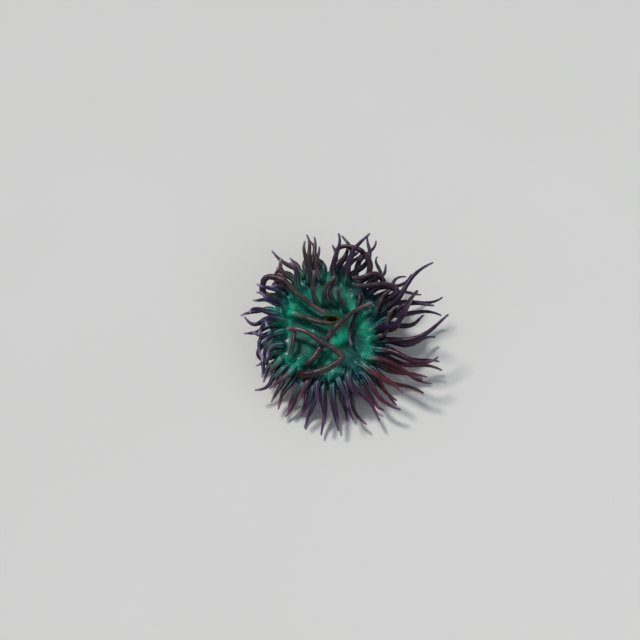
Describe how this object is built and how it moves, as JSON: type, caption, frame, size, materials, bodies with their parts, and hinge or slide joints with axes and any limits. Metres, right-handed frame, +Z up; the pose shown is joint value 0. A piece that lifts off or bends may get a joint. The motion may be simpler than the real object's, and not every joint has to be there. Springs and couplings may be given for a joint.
{
  "type": "sea anemone",
  "caption": "Life-size still sea anemone: a lobed green oral disc inside an open crown of long curling tentacles, on a short column and a broad flat foot.",
  "frame": {"origin": "centre of the foot, on its flat underside", "axes": "+Z up from the foot through the mouth; the oral disc tips towards -Y; +X is the side with the longest tentacles"},
  "size_m": [0.2622, 0.2607, 0.1043],
  "materials": {
    "foot_skin": "damp, satin",
    "column_skin": "damp, satin",
    "disc_skin": "wet, semi-gloss",
    "lip_skin": "wet, semi-gloss",
    "tentacle_skin": "wet, semi-gloss"
  },
  "bodies": {
    "root": {"column_lower": "column_skin", "column_upper": "column_skin", "crown_sector_01": "tentacle_skin", "crown_sector_02": "tentacle_skin", "crown_sector_03": "tentacle_skin", "crown_sector_04": "tentacle_skin", "crown_sector_05": "tentacle_skin", "crown_sector_06": "tentacle_skin", "crown_sector_07": "tentacle_skin", "crown_sector_08": "tentacle_skin", "crown_sector_09": "tentacle_skin", "crown_sector_10": "tentacle_skin", "crown_sector_11": "tentacle_skin", "crown_sector_12": "tentacle_skin", "mouth_lips": "lip_skin", "oral_disc": "disc_skin", "pedal_disc": "foot_skin", "tentacle_arched_base": "tentacle_skin", "tentacle_arched_tip": "tentacle_skin", "tentacle_bowed_base": "tentacle_skin", "tentacle_bowed_tip": "tentacle_skin", "tentacle_crossing_base": "tentacle_skin", "tentacle_crossing_middle": "tentacle_skin", "tentacle_crossing_tip": "tentacle_skin", "tentacle_hook_base": "tentacle_skin", "tentacle_hook_middle": "tentacle_skin", "tentacle_hook_tip": "tentacle_skin", "tentacle_inner_base": "tentacle_skin", "tentacle_inner_tip": "tentacle_skin", "tentacle_leaning_base": "tentacle_skin", "tentacle_leaning_tip": "tentacle_skin", "tentacle_level_base": "tentacle_skin", "tentacle_level_tip": "tentacle_skin", "tentacle_raised_base": "tentacle_skin", "tentacle_raised_tip": "tentacle_skin", "tentacle_side_base": "tentacle_skin", "tentacle_side_middle": "tentacle_skin", "tentacle_side_tip": "tentacle_skin", "tentacle_slender_base": "tentacle_skin", "tentacle_slender_middle": "tentacle_skin", "tentacle_slender_tip": "tentacle_skin", "tentacle_spike_base": "tentacle_skin", "tentacle_spike_tip": "tentacle_skin", "tentacle_sweeping_base": "tentacle_skin", "tentacle_sweeping_middle": "tentacle_skin", "tentacle_sweeping_tip": "tentacle_skin", "tentacle_tall_base": "tentacle_skin", "tentacle_tall_middle": "tentacle_skin", "tentacle_tall_tip": "tentacle_skin", "tentacle_turning_base": "tentacle_skin", "tentacle_turning_middle": "tentacle_skin", "tentacle_turning_tip": "tentacle_skin", "tentacle_twin_base": "tentacle_skin", "tentacle_twin_tip": "tentacle_skin", "tentacle_upper_base": "tentacle_skin", "tentacle_upper_middle": "tentacle_skin", "tentacle_upper_tip": "tentacle_skin", "tentacle_upright_base": "tentacle_skin", "tentacle_upright_tip": "tentacle_skin"}
  },
  "joints": []
}
